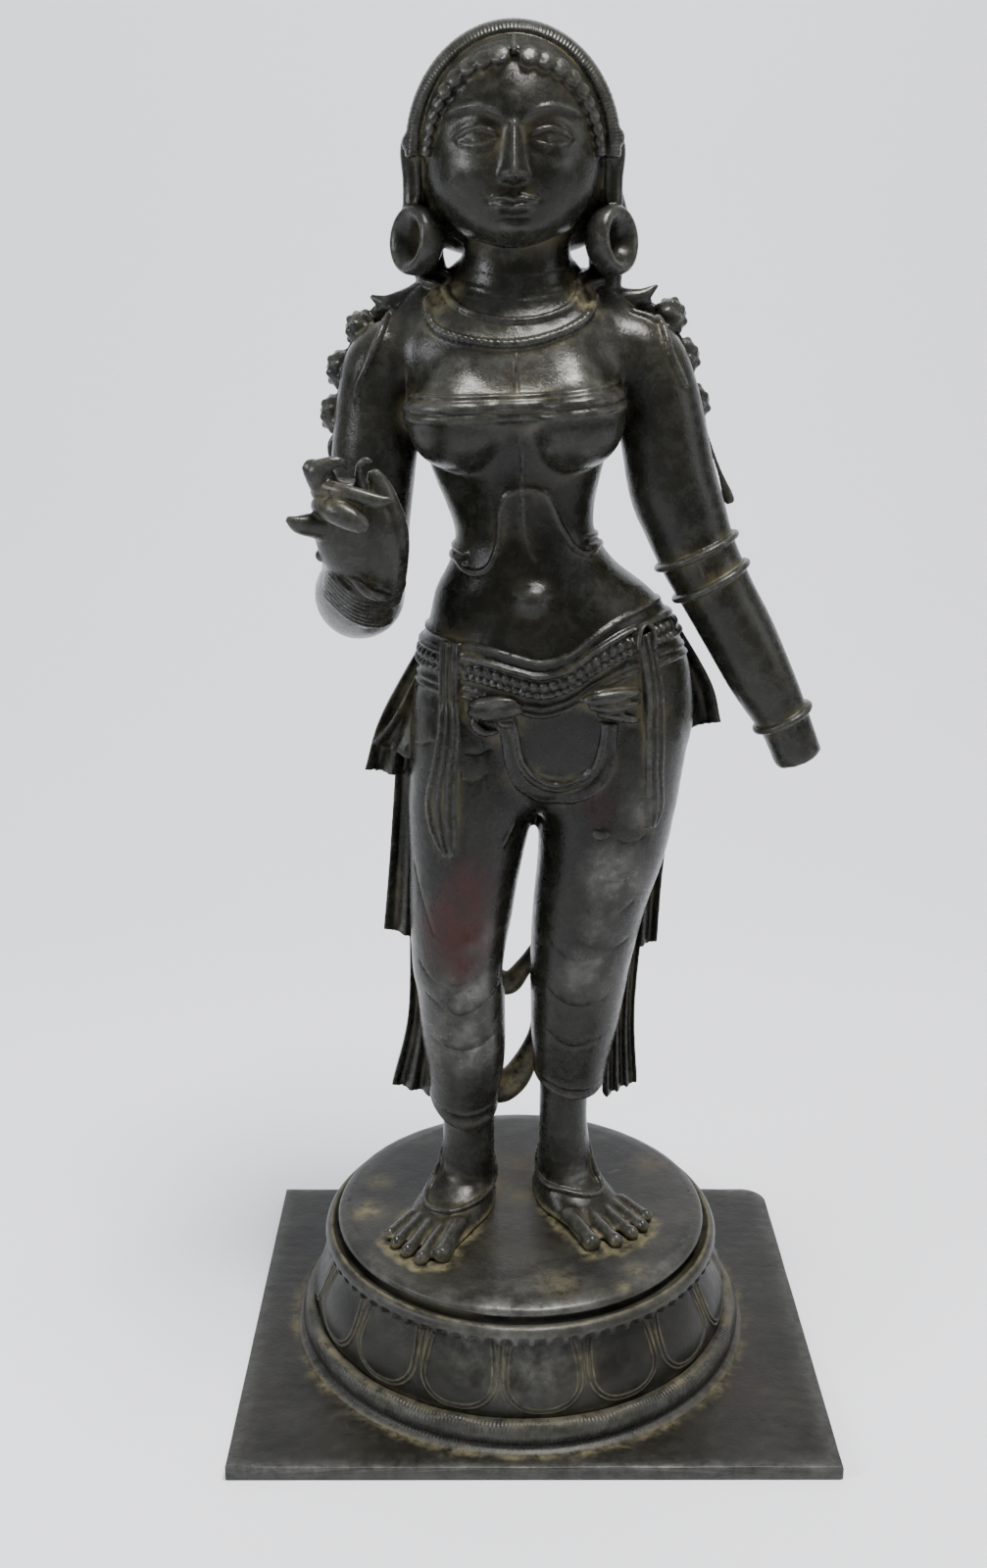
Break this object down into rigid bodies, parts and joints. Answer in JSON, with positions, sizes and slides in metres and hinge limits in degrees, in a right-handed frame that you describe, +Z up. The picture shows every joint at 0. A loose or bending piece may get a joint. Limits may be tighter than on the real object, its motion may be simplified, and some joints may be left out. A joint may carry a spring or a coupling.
{
  "type": "rukmini figure",
  "caption": "Cast bronze goddess standing on a round lotus plinth with a rectangular plate, one hand raised and the other forearm broken off; stands free as an ornament.",
  "frame": {"origin": "middle of the underside of the plinth's rectangular plate", "axes": "+Z up, +X to the right of someone facing the figure, and the figure looks along -Y"},
  "size_m": [0.289, 0.244, 0.64],
  "materials": {
    "figure_bronze": "dark olive-black bronze patina, satin, worn brighter on the high points",
    "plinth_bronze": "dark grey-brown bronze patina, duller than the figure, pale residue in the hollows"
  },
  "bodies": {
    "root": {"figure": "figure_bronze", "lotus_plinth": "plinth_bronze"}
  },
  "joints": []
}
